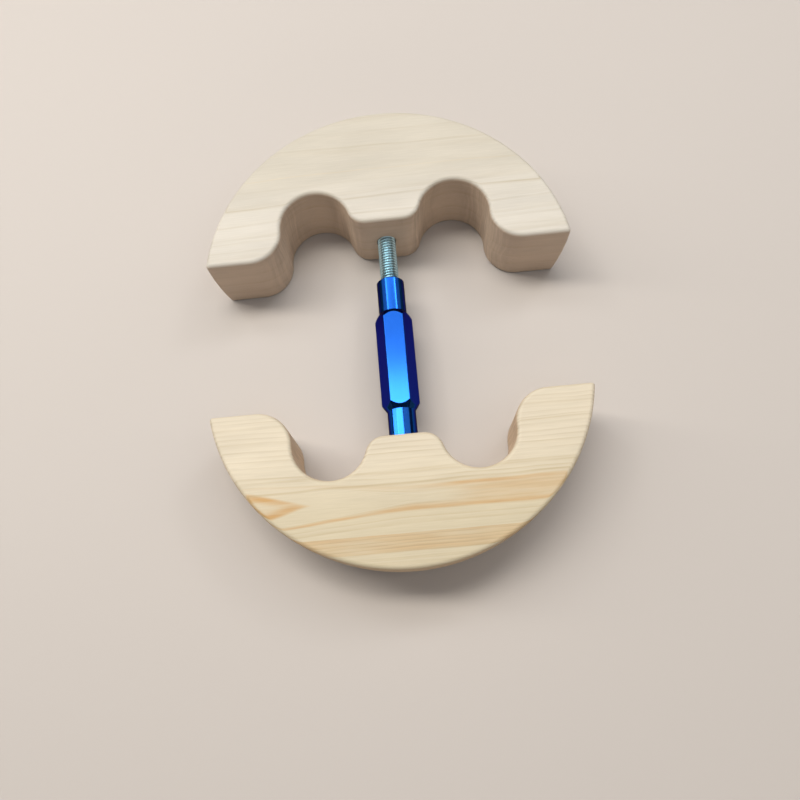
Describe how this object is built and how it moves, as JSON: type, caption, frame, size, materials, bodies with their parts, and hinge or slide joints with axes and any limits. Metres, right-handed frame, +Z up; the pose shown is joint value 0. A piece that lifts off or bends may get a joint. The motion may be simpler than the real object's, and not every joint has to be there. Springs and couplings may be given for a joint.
{
  "type": "hat stretcher",
  "caption": "Two scalloped wooden half-round blocks that a turnbuckle with a hexagonal sleeve pushes apart to stretch or hold the shape of a hat.",
  "frame": {"origin": "on the surface that the two blocks lie on, midway along the object's length and width at rest", "axes": "+Y along the turnbuckle towards the block that is wound out at rest (rear), +X to its right, +Z up from the undersides"},
  "size_m": [0.1542, 0.201, 0.03],
  "materials": {
    "rear_pine": "sanded bare pine, pale",
    "front_pine": "sanded bare pine, warm with clear grain",
    "zinc_plated_steel": "bright zinc plate with a bluish cast",
    "blue_anodised_aluminium": "bright blue anodised, turned and milled"
  },
  "bodies": {
    "sleeve": {"adjuster_sleeve": "blue_anodised_aluminium"},
    "rear_rod": {"rear_stud": "zinc_plated_steel"},
    "rear_half": {"rear_block": "rear_pine"},
    "front_rod": {"front_stud": "zinc_plated_steel"},
    "front_half": {"front_block": "front_pine"}
  },
  "joints": [
    {"name": "rear_travel", "type": "slide", "parent": "sleeve", "child": "rear_rod", "axis": [0, 1, 0], "range_m": [-0.02, 0.005]},
    {"name": "rear_turn", "type": "hinge", "parent": "rear_rod", "child": "rear_half", "pos_m": [0, 0.04713, 0.0138], "axis": [0, 1, 0], "range_deg": [-5760, 1440]},
    {"name": "front_travel", "type": "slide", "parent": "sleeve", "child": "front_rod", "axis": [0, -1, 0], "range_m": [0, 0.025]},
    {"name": "front_turn", "type": "hinge", "parent": "front_rod", "child": "front_half", "pos_m": [0, -0.04713, 0.0138], "axis": [0, 1, 0], "range_deg": [0, 7200]}
  ],
  "couplings": [
    {"joint": "rear_travel", "follows": "rear_turn", "m_per_rad": 0.00019894},
    {"joint": "front_travel", "follows": "front_turn", "m_per_rad": 0.00019894}
  ]
}
